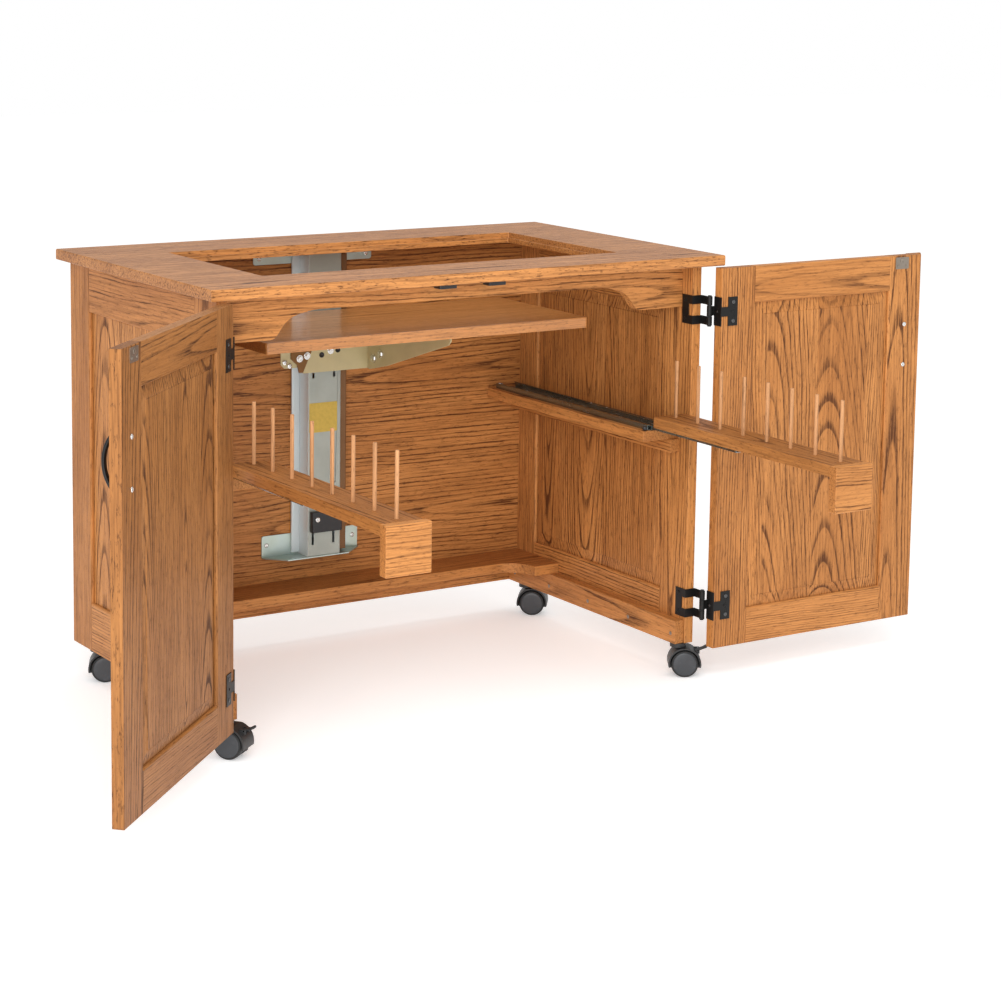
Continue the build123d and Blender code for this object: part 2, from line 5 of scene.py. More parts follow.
import bmesh
import bpy
from bpy.props import FloatProperty, FloatVectorProperty, PointerProperty
from mathutils import Matrix, Vector


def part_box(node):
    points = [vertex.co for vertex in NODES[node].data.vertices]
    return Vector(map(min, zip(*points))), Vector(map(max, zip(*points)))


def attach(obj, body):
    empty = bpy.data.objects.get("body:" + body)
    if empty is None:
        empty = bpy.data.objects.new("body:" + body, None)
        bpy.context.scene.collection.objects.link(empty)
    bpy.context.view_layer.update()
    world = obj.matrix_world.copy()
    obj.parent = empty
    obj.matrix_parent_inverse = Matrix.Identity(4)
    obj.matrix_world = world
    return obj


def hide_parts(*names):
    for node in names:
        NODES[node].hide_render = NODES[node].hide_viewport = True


bl_info = {
    "name": "Oak Sewing Table",
    "version": (1, 0, 0),
    "blender": (4, 5, 0),
    "location": "3D View > Sidebar > Sewing Table",
    "description": "Oak, metal and plastic finishes, small hardware and the studio for a sewing table",
    "category": "Object",
}

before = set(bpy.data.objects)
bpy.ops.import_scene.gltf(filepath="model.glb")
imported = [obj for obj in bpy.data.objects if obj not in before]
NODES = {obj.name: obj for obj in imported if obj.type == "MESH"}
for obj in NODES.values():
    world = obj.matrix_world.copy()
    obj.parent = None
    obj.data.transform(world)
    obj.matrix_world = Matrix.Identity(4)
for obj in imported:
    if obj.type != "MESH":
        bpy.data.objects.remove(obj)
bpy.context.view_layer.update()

SIDES = {"left": -1, "right": 1}
CASTERS = ("fr", "fl", "br", "bl")
DOOR_PIN = (0.483, -0.2945)         # x and y of the right-hand door's hinge pins
DOOR_TURN = {"left": math.radians(136.2), "right": math.radians(180)}
HINGE_HEIGHTS = (0.137, 0.675)
HINGE_SCREW_RISE = 0.017            # a leaf's screws stand this far above and below its middle
SLIDE_X, SLIDE_Z = 0.422, 0.4600    # middle line of the rack slides
CHANNEL_FLOOR = 0.4562
DARK_STEEL, WARM_STEEL, TYRE_BLACK = (0.13, 0.13, 0.13), (0.34, 0.29, 0.24), (0.012, 0.012, 0.012)
PLATING = [(1.0, 0.86, 0.93), (0.93, 1.0, 0.80), (0.80, 0.95, 1.0), (1.0, 0.93, 0.78)]
X_AXIS, Y_AXIS, Z_AXIS = Vector((1, 0, 0)), Vector((0, 1, 0)), Vector((0, 0, 1))


# ---------------------------------------------------------------- settings
def colour(name, description, default):
    return FloatVectorProperty(
        name=name, description=description, subtype="COLOR", size=3, min=0, max=1, default=default
    )


def length(name, description, default):
    return FloatProperty(name=name, description=description, default=default, unit="LENGTH", precision=5)


def share(name, description, default):
    return FloatProperty(name=name, description=description, default=default, min=0, max=1, subtype="FACTOR")


def angle(name, description, degrees):
    return FloatProperty(name=name, description=description, default=math.radians(degrees), unit="ROTATION")


def power(name, description, default):
    return FloatProperty(name=name, description=description, default=default, unit="POWER")


def strength(name, description, default):
    return FloatProperty(name=name, description=description, default=default)


class OakSettings(bpy.types.PropertyGroup):
    """Colours and grain of the stained red oak."""

    latewood: colour("Latewood", "Honey colour between the grain lines", (0.62, 0.262, 0.076))
    heartwood: colour("Shade", "Deeper stain in the slow drifts of colour", (0.41, 0.152, 0.037))
    earlywood: colour("Grain Line", "Dark stain held in the open pores", (0.105, 0.034, 0.009))
    dowel: colour("Dowel", "Paler wood of the thread dowels", (0.60, 0.30, 0.135))
    ring_gap: length("Ring Gap", "Distance between growth rings", 0.0056)
    waver: length("Waver", "How far the log's heart wanders, which breaks up the arches", 0.016)
    gloss: share("Roughness", "Roughness of the satin lacquer", 0.46)
    lacquer: share("Lacquer", "Weight of the clear coat", 0.05)


class MetalSettings(bpy.types.PropertyGroup):
    """Colours of the metal and plastic parts."""

    iron: colour("Hinge Black", "Black finish of hinges and pulls", (0.014, 0.0135, 0.013))
    zinc: colour("Zinc", "Galvanised sheet of the lift column", (0.40, 0.43, 0.385))
    # Painted reflection: a brighter, bluer zinc laid on the column's left-facing faces in place of the light
    # they reflect.
    painted_reflection: colour("Zinc Cheek", "Cleaner, bluer zinc on the column's left side", (0.72, 0.80, 0.82))
    chromate: colour("Chromate", "Faint colour of the passivated brackets", (0.54, 0.61, 0.57))
    slide: colour("Slide Steel", "Grey steel of the rack slides", (0.30, 0.34, 0.33))
    screw: colour("Screw Steel", "Bright plated screws", (0.78, 0.78, 0.76))
    bronze: colour("Bronze", "Bronze zinc of the lift's side parts", (0.20, 0.095, 0.035))
    beige: colour("Carriage Paint", "Powder coat of the lift carriage", (0.56, 0.48, 0.26))
    label: colour("Plate Gold", "Blank plate on the lift column", (0.62, 0.44, 0.085))
    plastic: colour("Plastic Black", "Moulded caster hoods", (0.017, 0.017, 0.018))
    disc: colour("Disc Grey", "Faces of the caster wheels", (0.038, 0.041, 0.046))


class PieceSettings(bpy.types.PropertyGroup):
    """Sizes of the small hardware."""

    edge: length("Eased Edge", "Rounding of sawn wooden edges", 0.0007)
    head: length("Screw Head", "Radius of the case screws' heads", 0.0042)
    bolt: length("Bolt Head", "Radius of the lift's bolt heads", 0.0052)
    pull_width: length("Pull Width", "Width of a door pull at its middle", 0.0105)


class StudioSettings(bpy.types.PropertyGroup):
    """Camera, floor and lights."""

    eye: FloatVectorProperty(
        name="Camera", description="Where the camera stands", size=3, subtype="XYZ", unit="LENGTH",
        default=(-2.2659, -3.8259, 1.3133),
    )
    yaw: angle("Yaw", "Camera turn to the right", 33.12)
    pitch: angle("Pitch", "Camera tilt down", 7.965)
    roll: angle("Roll", "Camera roll", 0.81)
    lens: FloatProperty(name="Lens", description="Focal length", unit="CAMERA", default=90.9)
    drop: strength("Shift", "Vertical shift of the picture", -0.1998)
    key: power("Key Light", "Power of the large front light", 100)
    top: power("Top Light", "Power of the overhead light", 26)
    side: power("Side Light", "Power of the left-hand light", 12)
    edge: power("Edge Light", "Power of the strip that lights the edges", 24)
    sky: strength("Surround", "Light from the white surround", 0.60)
    backdrop: strength("Backdrop", "Brightness of the surround behind the table", 1.0)
    glow: strength("Floor Glow", "Light the floor gives off, which keeps it white", 0.46)
    floor: colour("Floor", "Pale studio floor", (0.97, 0.97, 0.97))


# ---------------------------------------------------------------- shader sums
class Wire:
    """A shader socket that takes part in Python sums; each sum adds its Math node."""

    def __init__(self, paint, socket):
        self.paint = paint
        self.socket = socket

    def sum(self, operation, *others):
        inputs = {i: v for i, v in enumerate((self,) + others)}
        return self.paint.node("ShaderNodeMath", {"operation": operation}, inputs)

    def __add__(self, other):
        return self.sum("ADD", other)

    def __sub__(self, other):
        return self.sum("SUBTRACT", other)

    def __mul__(self, other):
        return self.sum("MULTIPLY", other)

    def __truediv__(self, other):
        return self.sum("DIVIDE", other)

    def __rsub__(self, other):
        return self.paint.node("ShaderNodeMath", {"operation": "SUBTRACT"}, {0: other, 1: self})

    def __rtruediv__(self, other):
        return self.paint.node("ShaderNodeMath", {"operation": "DIVIDE"}, {0: other, 1: self})

    __radd__ = __add__
    __rmul__ = __mul__

    def fraction(self):
        return self.sum("FRACT")

    def clamped(self):
        return self.paint.node("ShaderNodeClamp", {}, {0: self})

    def between(self, low, high):
        """0 below low, 1 above high, and smooth from one to the other."""
        return self.paint.node(
            "ShaderNodeMapRange", {"interpolation_type": "SMOOTHSTEP"},
            {"Value": self, "From Min": low, "From Max": high},
        )


class Paint:
    """A material under construction."""

    def __init__(self, name):
        self.material = bpy.data.materials.new(name)
        self.material.use_nodes = True
        self.tree = self.material.node_tree
        self.shader = self.tree.nodes["Principled BSDF"]

    def node(self, kind, settings, inputs, output=0):
        """A node of that type, with its settings made first and then its sockets given values or wires."""
        made = self.tree.nodes.new(kind)
        for key, value in settings.items():
            if key == "stops":
                self._stops(made.color_ramp, value)
            else:
                setattr(made, key, value)
        for key, value in inputs.items():
            self.feed(made.inputs[key], value)
        return Wire(self, made.outputs[output])

    @staticmethod
    def _stops(ramp, stops):
        while len(ramp.elements) < len(stops):
            ramp.elements.new(0.5)
        for element, (place, tint) in zip(ramp.elements, stops):
            element.position = place
            element.color = (*tint, 1)

    def feed(self, socket, value):
        if isinstance(value, Wire):
            self.tree.links.new(value.socket, socket)
        elif hasattr(socket.default_value, "__len__") and len(value) < len(socket.default_value):
            socket.default_value = (*value, 1)
        else:
            socket.default_value = value

    def mix(self, share_of_b, a, b, mode="MIX"):
        """Colour a to colour b."""
        settings = {"data_type": "RGBA", "blend_type": mode}
        return self.node("ShaderNodeMix", settings, {0: share_of_b, 6: a, 7: b}, 2)

    def place(self):
        return self.node("ShaderNodeTexCoord", {}, {}, "Object")

    def facing(self):
        return self.node("ShaderNodeTexCoord", {}, {}, "Normal")

    def split(self, vector):
        return [self.node("ShaderNodeSeparateXYZ", {}, {0: vector}, i) for i in range(3)]

    def join(self, x, y, z):
        return self.node("ShaderNodeCombineXYZ", {}, {0: x, 1: y, 2: z})

    def noise(self, vector, scale, detail=2.0, roughness=0.5):
        inputs = {"Vector": vector, "Scale": scale, "Detail": detail, "Roughness": roughness}
        return self.node("ShaderNodeTexNoise", {}, inputs)

    def chance(self, number):
        """A fixed chance value for each whole number."""
        return self.node("ShaderNodeTexWhiteNoise", {"noise_dimensions": "1D"}, {"W": number})

    def bump(self, height, depth, strength=1.0):
        return self.node("ShaderNodeBump", {}, {"Height": height, "Distance": depth, "Strength": strength})

    def finish(self, **sockets):
        """Values or wires onto the shader's sockets, by their names with underscores."""
        for key, value in sockets.items():
            self.feed(self.shader.inputs[key.replace("_", " ")], value)
        return self.material


# ---------------------------------------------------------------- oak
def board_axes(paint, door):
    """Object coordinates and face directions, turned back to a closed door's where the board is on a door."""
    place, facing = paint.place(), paint.facing()
    if door is not None:
        side, turn = door
        about = {"Vector": place, "Center": (SIDES[side] * DOOR_PIN[0], DOOR_PIN[1], 0), "Angle": turn}
        settings = {"rotation_type": "Z_AXIS"}
        place = paint.node("ShaderNodeVectorRotate", settings, about)
        facing = paint.node("ShaderNodeVectorRotate", settings, {"Vector": facing, "Angle": turn})
    return dict(zip("XYZ", paint.split(place))), dict(zip("XYZ", paint.split(facing)))


def oak_tones(strength_of_all=1.0):
    """The honey, shade and grain-line colours, made darker below 1."""
    s = bpy.context.scene.table_oak
    return [tuple(c * strength_of_all for c in tint) for tint in (s.latewood, s.heartwood, s.earlywood)]


def oak(name, grain, face, middle, seed, depth, slope, lines, ring=1.0, tone=0.0, door=None,
        step=None, colours=None, glued=None, gloss=0.0, lacquer=None):
    """Stained red oak sawn from a round log.

    grain is the axis the fibres run along and face the axis the board's broad side looks along.
    middle is the board's centre across its width.  depth is how far the log's heart lies below the face and
    slope how fast it comes nearer along the board, which draws the arches.  lines is how dark the grain
    lines are, ring how wide the rings are and tone how dark the stain is, each on top of the settings.
    step is where a second loose board starts, and glued the width of the boards in a glued-up panel.
    """
    s = bpy.context.scene.table_oak
    paint = Paint("oak_" + name)
    axes, facing = board_axes(paint, door)
    across = ({"X", "Y", "Z"} - {grain, face}).pop()
    log_start = seed * 1.37
    along = axes[grain] + log_start
    width = axes[across] - middle
    thick = axes[face] * (1 if depth > 0 else -1)
    shade = 0.0
    if step is not None:
        other_board = axes[across].sum("GREATER_THAN", step)
        along = along + other_board * 0.83
        width = width + other_board * 0.031
        shade = other_board * 0.16 - 0.08
    heart = width
    if glued is not None:
        board = (width / glued + seed).sum("FLOOR")
        chance = paint.chance(board + seed)
        chance_too = paint.chance(board * 1.7 + seed)
        heart = width - (board - seed + 0.5) * glued + (chance - 0.5) * glued * 1.1
        along = along + chance_too * 2.0
        shade = (chance_too - 0.5) * 0.34
    slow = paint.join(along * 1.25, width * 2.6, thick * 2.6 + seed * 3.1)
    drift = paint.noise(slow, 1.0, 2.0, 0.5) - 0.5
    lift = paint.noise(paint.join(along * 1.7, heart * 5.0, seed * 1.9), 1.0, 2.0, 0.45) - 0.5
    fast = paint.noise(paint.join(along * 15.0, heart * 30.0, thick * 30.0), 1.0, 3.0, 0.55) - 0.5
    bent = heart + drift * 0.050 + fast * 0.0050
    start = log_start * slope + (slope if glued else 0.0)
    deep = thick + lift * s.waver + along * slope + (abs(depth) - start)
    radius = (bent * bent + deep * deep).sum("SQRT")
    years = radius / (s.ring_gap * ring)
    spread = paint.noise(paint.join(years * 0.45, seed, 0.0), 1.0, 1.0, 0.5)
    years = years + spread * 1.3
    phase = years.fraction()
    band = phase.between(0.0, 0.07) * (1 - phase.between(0.10, 0.44))
    bold = paint.noise(paint.join(years * 0.62, seed + 4.0, along * 0.7), 1.0, 1.0, 0.5).between(0.30, 0.64)
    band = band * (0.34 + 0.66 * bold)

    def fibres(long, fine, detail, roughness):
        """Noise drawn out along the grain."""
        return paint.noise(paint.join(along * long, width * fine, thick * fine), 1.0, detail, roughness)

    threads = fibres(11, 300, 2.0, 0.6).between(0.40, 0.66)
    open_pores = fibres(30, 620, 2.0, 0.6).between(0.34, 0.66)
    specks = fibres(70, 330, 3.0, 0.7).between(0.53, 0.68)
    cloud = fibres(3.2, 13, 2.0, 0.5).between(0.28, 0.76)
    sawn_across = facing[grain].sum("ABSOLUTE").between(0.55, 0.9)
    sawn_edge = facing[across].sum("ABSOLUTE").between(0.55, 0.9)
    band = band * (1 - sawn_edge * 0.82 - sawn_across * 0.70)
    dark = (band * (0.50 + 0.44 * open_pores + 0.34 * threads) + specks * (0.44 + sawn_edge * 0.20)
            + threads * 0.36 + open_pores * 0.16) * lines
    dark = dark + sawn_across * (0.10 + specks * 0.24)
    late, deep_tone, early = colours or oak_tones()
    stain = cloud * 0.60 + tone + shade + sawn_across * 0.22 - sawn_edge * 0.18
    ground = paint.mix(stain.clamped(), late, deep_tone)
    stained = paint.mix(dark.clamped(), ground, early)
    height = 0.6 - band * open_pores * 0.5 - specks * 0.3 - threads * 0.2
    return paint.finish(
        Base_Color=stained,
        Roughness=s.gloss + gloss + dark * 0.18,
        Normal=paint.bump(height, 0.0006, 0.8),
        Coat_Weight=s.lacquer if lacquer is None else lacquer,
        Coat_Roughness=0.16,
        Specular_IOR_Level=0.20,
    )


def oak_board(node, edge, segments=2, **look):
    """Oak on a board of the model, with its sawn edges eased."""
    piece = NODES[node]
    give_finish(piece, oak(node, **look))
    bevelled(piece, edge, segments)


# ---------------------------------------------------------------- metal and plastic
def worn_metal(name, tint, roughness, metallic=1.0, brushed=None, tints=None, depth=0.00006, grainy=900,
               painted_reflection=None, left_part=None):
    """Plated or painted metal: brush lines or a fine skin, faint smudges, and drifting plating colours.

    The colour on faces that look left is a painted reflection, a brighter, bluer zinc; left_part is the colour
    of what lies left of the table's middle.
    """
    paint = Paint(name)
    place = paint.place()
    skin_place = place
    if brushed is not None:
        x, y, z = paint.split(place)
        stretch = {"X": (0.02, 1, 1), "Y": (1, 0.02, 1), "Z": (1, 1, 0.02)}[brushed]
        skin_place = paint.join(x * stretch[0], y * stretch[1], z * stretch[2])
    skin = paint.noise(skin_place, grainy, 3.0, 0.6)
    smudge = paint.noise(place, 24, 3.0, 0.6)
    base = paint.mix(smudge.between(0.25, 0.8) * 0.35, tuple(tint), tuple(c * 0.72 for c in tint))
    # Painted reflection: faces whose normal looks left get the brighter, bluer colour.
    if painted_reflection is not None:
        x_way = paint.split(paint.facing())[0]
        base = paint.mix((0 - x_way).between(0.4, 0.9), base, tuple(painted_reflection))
    if left_part is not None:
        base = paint.mix((0 - paint.split(place)[0]).sum("GREATER_THAN", 0.0), base, tuple(left_part))
    if tints:
        drift = paint.noise(place, 9, 2.0, 0.5)
        stops = [(0.30 + 0.13 * i, t) for i, t in enumerate(tints)]
        film = paint.node("ShaderNodeValToRGB", {"stops": stops}, {0: drift})
        base = paint.mix(0.42, base, film, "MULTIPLY")
    return paint.finish(
        Base_Color=base,
        Metallic=metallic,
        Roughness=roughness + (smudge - 0.5) * 0.22 + (skin - 0.5) * 0.12,
        Normal=paint.bump(skin, depth, 0.5),
    )


def moulded(name, tint, roughness, grain=1400, depth=0.00012):
    """Moulded plastic with a fine spark-eroded skin and slight scuffs."""
    paint = Paint(name)
    place = paint.place()
    skin = paint.noise(place, grain, 2.0, 0.6)
    scuff = paint.noise(place, 60, 4.0, 0.65)
    pale = tuple(min(1, c * 1.9 + 0.006) for c in tint)
    base = paint.mix(scuff.between(0.45, 0.85) * 0.45, tuple(tint), pale)
    return paint.finish(
        Base_Color=base,
        Roughness=roughness + (scuff - 0.5) * 0.2,
        Normal=paint.bump(skin, depth, 0.6),
    )


def plate_gold():
    """Blank foil plate, faintly mottled."""
    s = bpy.context.scene.table_metal
    paint = Paint("plate_gold")
    place = paint.place()
    mottle = paint.noise(place, 160, 3.0, 0.6)
    base = paint.mix(mottle.between(0.3, 0.75) * 0.4, tuple(s.label), tuple(c * 0.7 for c in s.label))
    return paint.finish(
        Base_Color=base,
        Roughness=0.42 + mottle * 0.12,
        Metallic=0.35,
        Normal=paint.bump(mottle, 0.00005, 0.5),
    )


FINISHES = {}


def finish(name):
    """The shared finish of that name, made once."""
    if name in FINISHES:
        return FINISHES[name]
    s = bpy.context.scene.table_metal
    makers = {
        "hinge_black": lambda: worn_metal("hinge_black", s.iron, 0.44, 0.55, depth=0.00010, grainy=700),
        # The column's left-facing faces take the painted-reflection colour, and so do all faces of the guide's
        # left strip, which is zinc.
        "zinc": lambda: worn_metal("zinc", s.zinc, 0.40, 0.35, "Z", painted_reflection=s.painted_reflection),
        "guide_zinc": lambda: worn_metal("guide_zinc", s.bronze, 0.38, 0.40, "Z", left_part=s.painted_reflection),
        "dark_screw": lambda: worn_metal("dark_screw", DARK_STEEL, 0.26),
        "chromate": lambda: worn_metal("chromate", s.chromate, 0.32, 0.8, tints=PLATING),
        "slide_steel": lambda: worn_metal("slide_steel", s.slide, 0.24, 0.95, "Y"),
        "screw_steel": lambda: worn_metal("screw_steel", s.screw, 0.22),
        "catch_steel": lambda: worn_metal("catch_steel", WARM_STEEL, 0.38),
        "bronze": lambda: worn_metal("bronze", s.bronze, 0.36, 0.85, "Z"),
        "carriage_paint": lambda: worn_metal("carriage_paint", s.beige, 0.38, 0.0, depth=0.00008, grainy=500),
        "plate_gold": plate_gold,
        "black_plastic": lambda: moulded("black_plastic", s.plastic, 0.42),
        "disc_plastic": lambda: moulded("disc_plastic", s.disc, 0.36, 900, 0.00005),
        "tyre_plastic": lambda: moulded("tyre_plastic", TYRE_BLACK, 0.6),
    }
    FINISHES[name] = makers[name]()
    return FINISHES[name]


# ---------------------------------------------------------------- shapes
def give_finish(piece, material):
    piece.data.materials.clear()
    piece.data.materials.append(material)


def linked(name, data):
    """An object in the scene that holds the data."""
    thing = bpy.data.objects.new(name, data)
    bpy.context.scene.collection.objects.link(thing)
    return thing


def shown_piece(name, mesh, material, body, smooth=True):
    """A new piece from a bmesh, riding on a body."""
    bmesh.ops.recalc_face_normals(mesh, faces=mesh.faces)
    data = bpy.data.meshes.new(name)
    mesh.to_mesh(data)
    mesh.free()
    for polygon in data.polygons:
        polygon.use_smooth = smooth
    piece = linked(name, data)
    give_finish(piece, material)
    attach(piece, body)
    return piece


def bevelled(piece, width, segments=2, angle=35):
    """Rounded edges on a piece, with its flat faces kept flat."""
    weld = piece.modifiers.new("Weld", "WELD")
    weld.merge_threshold = 0.00001
    edge = piece.modifiers.new("Edges", "BEVEL")
    edge.width = width
    edge.segments = segments
    edge.limit_method = "ANGLE"
    edge.angle_limit = math.radians(angle)
    edge.use_clamp_overlap = True
    edge.harden_normals = False
    flat = piece.modifiers.new("Flats", "WEIGHTED_NORMAL")
    flat.keep_sharp = False
    flat.weight = 100
    for polygon in piece.data.polygons:
        polygon.use_smooth = True


def smoothed(piece):
    smooth = piece.modifiers.new("Smooth", "SUBSURF")
    smooth.levels = smooth.render_levels = 1


def rings_mesh(mesh, rings):
    """Skin between rings of equal numbers of points, capped at both ends."""
    rows = [[mesh.verts.new(p) for p in ring] for ring in rings]
    count = len(rows[0])
    for a, b in zip(rows, rows[1:]):
        for i in range(count):
            mesh.faces.new((a[i], a[(i + 1) % count], b[(i + 1) % count], b[i]))
    mesh.faces.new(list(reversed(rows[0])))
    mesh.faces.new(rows[-1])


def upright(axis):
    """The axis at a length of 1, and two more at right angles to it."""
    axis = Vector(axis).normalized()
    side = axis.orthogonal().normalized()
    return axis, side, axis.cross(side)


def soft_section(half_wide, half_thick, wide_power, thick_power, steps):
    """Points round a section whose corners grow squarer as the powers fall below 1."""
    points = []
    for i in range(steps):
        a = 2 * math.pi * i / steps
        c, d = math.cos(a), math.sin(a)
        points.append((half_wide * math.copysign(abs(c) ** wide_power, c),
                       half_thick * math.copysign(abs(d) ** thick_power, d)))
    return points


def turned(mesh, profile, centre, axis, steps=48):
    """A turned shape: profile is (distance along the axis, radius) pairs, from one end to the other."""
    axis, side, up = upright(axis)
    centre = Vector(centre)
    rings = []
    for along, radius in profile:
        ring = []
        for i in range(steps):
            a = 2 * math.pi * i / steps
            ring.append(centre + axis * along + (side * math.cos(a) + up * math.sin(a)) * radius)
        rings.append(ring)
    rings_mesh(mesh, rings)


def cross_head(mesh, centre, axis, radius, height, steps=32):
    """A domed screw head with a cross recess, standing on a surface."""
    axis, side, up = upright(axis)
    centre = Vector(centre)
    shares = (1.0, 1.0, 0.93, 0.80, 0.62, 0.46, 0.34, 0.22, 0.10)
    rings = []
    for k, share_of_radius in enumerate(shares):
        ring = []
        r = radius * share_of_radius
        dome = 0.0 if k == 0 else height * (0.42 + 0.58 * (1 - share_of_radius ** 2) ** 0.5)
        for i in range(steps):
            a = 2 * math.pi * i / steps
            u, v = math.cos(a) * r, math.sin(a) * r
            z = dome
            slot = min(abs(u), abs(v)) < radius * 0.13 and max(abs(u), abs(v)) < radius * 0.60
            if slot and k > 2:
                z -= height * 0.55
            ring.append(centre + side * u + up * v + axis * z)
        rings.append(ring)
    rings_mesh(mesh, rings)


def hex_bolt(mesh, centre, axis, radius, height):
    """A hexagon-headed bolt with a washer."""
    axis, side, up = upright(axis)
    centre = Vector(centre)
    turned(mesh, [(0, radius * 1.3), (0.0009, radius * 1.3), (0.0011, radius * 1.24)], centre, axis, 28)
    rings = []
    for z, r in ((0.0011, 0.94), (height * 0.86, 0.94), (height, 0.80), (height, 0.5), (height * 0.93, 0.44)):
        ring = []
        for i in range(6):
            a = math.pi * (2 * i + 0.6) / 6
            ring.append(centre + axis * z + (side * math.cos(a) + up * math.sin(a)) * radius * r)
        rings.append(ring)
    rings_mesh(mesh, rings)


def door_point(side, x, y, z):
    """A point given on the closed right-hand door, where that side's door stands open."""
    turn = DOOR_TURN[side]
    dx, dy = x - DOOR_PIN[0], y - DOOR_PIN[1]
    px = DOOR_PIN[0] + dx * math.cos(turn) - dy * math.sin(turn)
    py = DOOR_PIN[1] + dx * math.sin(turn) + dy * math.cos(turn)
    return Vector((SIDES[side] * px, py, z))


def door_way(side, x, y, z):
    """A direction given on the closed right-hand door, likewise."""
    start = door_point(side, DOOR_PIN[0], DOOR_PIN[1], 0)
    return door_point(side, DOOR_PIN[0] + x, DOOR_PIN[1] + y, z) - start


# ---------------------------------------------------------------- operators
class Builder(bpy.types.Operator):
    """Common ground of the table's operators."""

    bl_options = {"REGISTER", "UNDO"}


class TABLE_OT_case_oak(Builder):
    """Give the top, ends, back, apron, shelf, cleats and rails their oak."""

    bl_idname = "table.case_oak"
    bl_label = "Case Oak"

    def execute(self, context):
        edge = context.scene.table_pieces.edge
        looks = {
            "top_board": dict(grain="X", face="Z", middle=-0.26, seed=1.0, depth=-0.80, slope=0.010,
                              lines=1.0, tone=-0.12,
                              gloss=-0.02, lacquer=0.22),
            "end_panel_left": dict(grain="Z", face="X", middle=0.02, seed=2.0, depth=0.512, slope=0.06,
                                   glued=0.105, lines=0.9),
            "end_panel_right": dict(grain="Z", face="X", middle=0.05, seed=3.4, depth=-0.432, slope=0.05,
                                    glued=0.14, lines=0.95, tone=0.20),
            # Painted shade: the left stiles' stain is darkened (tone 0.34) for the light falling off toward the
            # back of the left end.
            "end_stiles_left": dict(grain="Z", face="X", middle=-0.23, seed=4.2, depth=0.52, slope=0.02,
                                    step=0.0, lines=0.7, tone=0.34),
            "end_stiles_right": dict(grain="Z", face="X", middle=-0.23, seed=5.1, depth=-0.43, slope=0.02,
                                     step=0.0, lines=0.8,
                                     tone=-0.12),
            # Painted shade: the left rails' stain is darkened (tone 0.16) for the shade under the top's
            # overhang.
            "end_rails_left": dict(grain="Y", face="X", middle=0.71, seed=6.3, depth=0.50, slope=0.02,
                                   step=0.4, lines=0.75, tone=0.16),
            "end_rails_right": dict(grain="Y", face="X", middle=0.08, seed=7.7, depth=-0.44, slope=0.02,
                                    step=0.4, lines=0.8),
            "back_board_upper": dict(grain="X", face="Y", middle=0.50, seed=8.2, depth=-0.245, slope=0.05,
                                     ring=1.5, tone=0.10, lines=0.9),
            "back_board_lower": dict(grain="X", face="Y", middle=0.22, seed=9.6, depth=-0.25, slope=0.05,
                                     ring=1.5, tone=-0.08, lines=0.8),
            # Painted light: the apron's stain is lightened (tone -0.35) to lift it out of the shade under the
            # top's overhang.
            "apron_front": dict(grain="X", face="Y", middle=0.70, seed=10.9, depth=0.28, slope=0.02,
                                lines=0.8, tone=-0.35),
            "bottom_shelf": dict(grain="X", face="Z", middle=0.20, seed=11.3, depth=-0.09, slope=0.02,
                                 lines=0.7, tone=0.25),
            "case_cleats": dict(grain="Y", face="X", middle=0.08, seed=12.8, depth=-0.40, slope=0.03,
                                lines=0.7),
            "rack_rails": dict(grain="Y", face="Z", middle=0.42, seed=13.5, depth=-0.41, slope=0.02,
                               step=0.0, lines=0.7),
        }
        for node, look in looks.items():
            oak_board(node, edge, **look)
        return {"FINISHED"}


class TABLE_OT_door_oak(Builder):
    """Give both doors and the astragal their oak, with the grain turned with each door."""

    bl_idname = "table.door_oak"
    bl_label = "Door Oak"

    def execute(self, context):
        edge = context.scene.table_pieces.edge
        seeds = {"left": 20.0, "right": 27.3}
        # Painted shade and light: the left door's oak is darkened to 0.70 because that door faces away from the
        # key light, and the right door's is lifted to 1.03.
        colours = {"left": oak_tones(0.70), "right": oak_tones(1.03)}
        for side, sign in SIDES.items():
            door, seed = (side, -sign * DOOR_TURN[side]), seeds[side]
            looks = {
                "door_stiles_": dict(grain="Z", face="Y", middle=sign * 0.06, seed=seed, depth=0.32,
                                     slope=0.03,
                                     step=sign * 0.24, lines=0.85),
                "door_rails_": dict(grain="X", face="Y", middle=0.74, seed=seed + 1.2, depth=0.32,
                                    slope=0.02,
                                    step=0.4, ring=0.8, lines=0.62),
                "door_panel_": dict(grain="Z", face="Y", middle=sign * 0.245, seed=seed + 2.7, depth=0.322,
                                    slope=0.070, glued=0.118, ring=0.95, lines=0.92),
            }
            for stem, look in looks.items():
                oak_board(stem + side, edge, door=door, tone=0.12, colours=colours[side], **look)
        oak_board("door_astragal", edge, door=("right", -DOOR_TURN["right"]), grain="Z", face="Y", middle=0.0,
                  seed=31.0, depth=0.34, slope=0.02, lines=0.8)
        return {"FINISHED"}


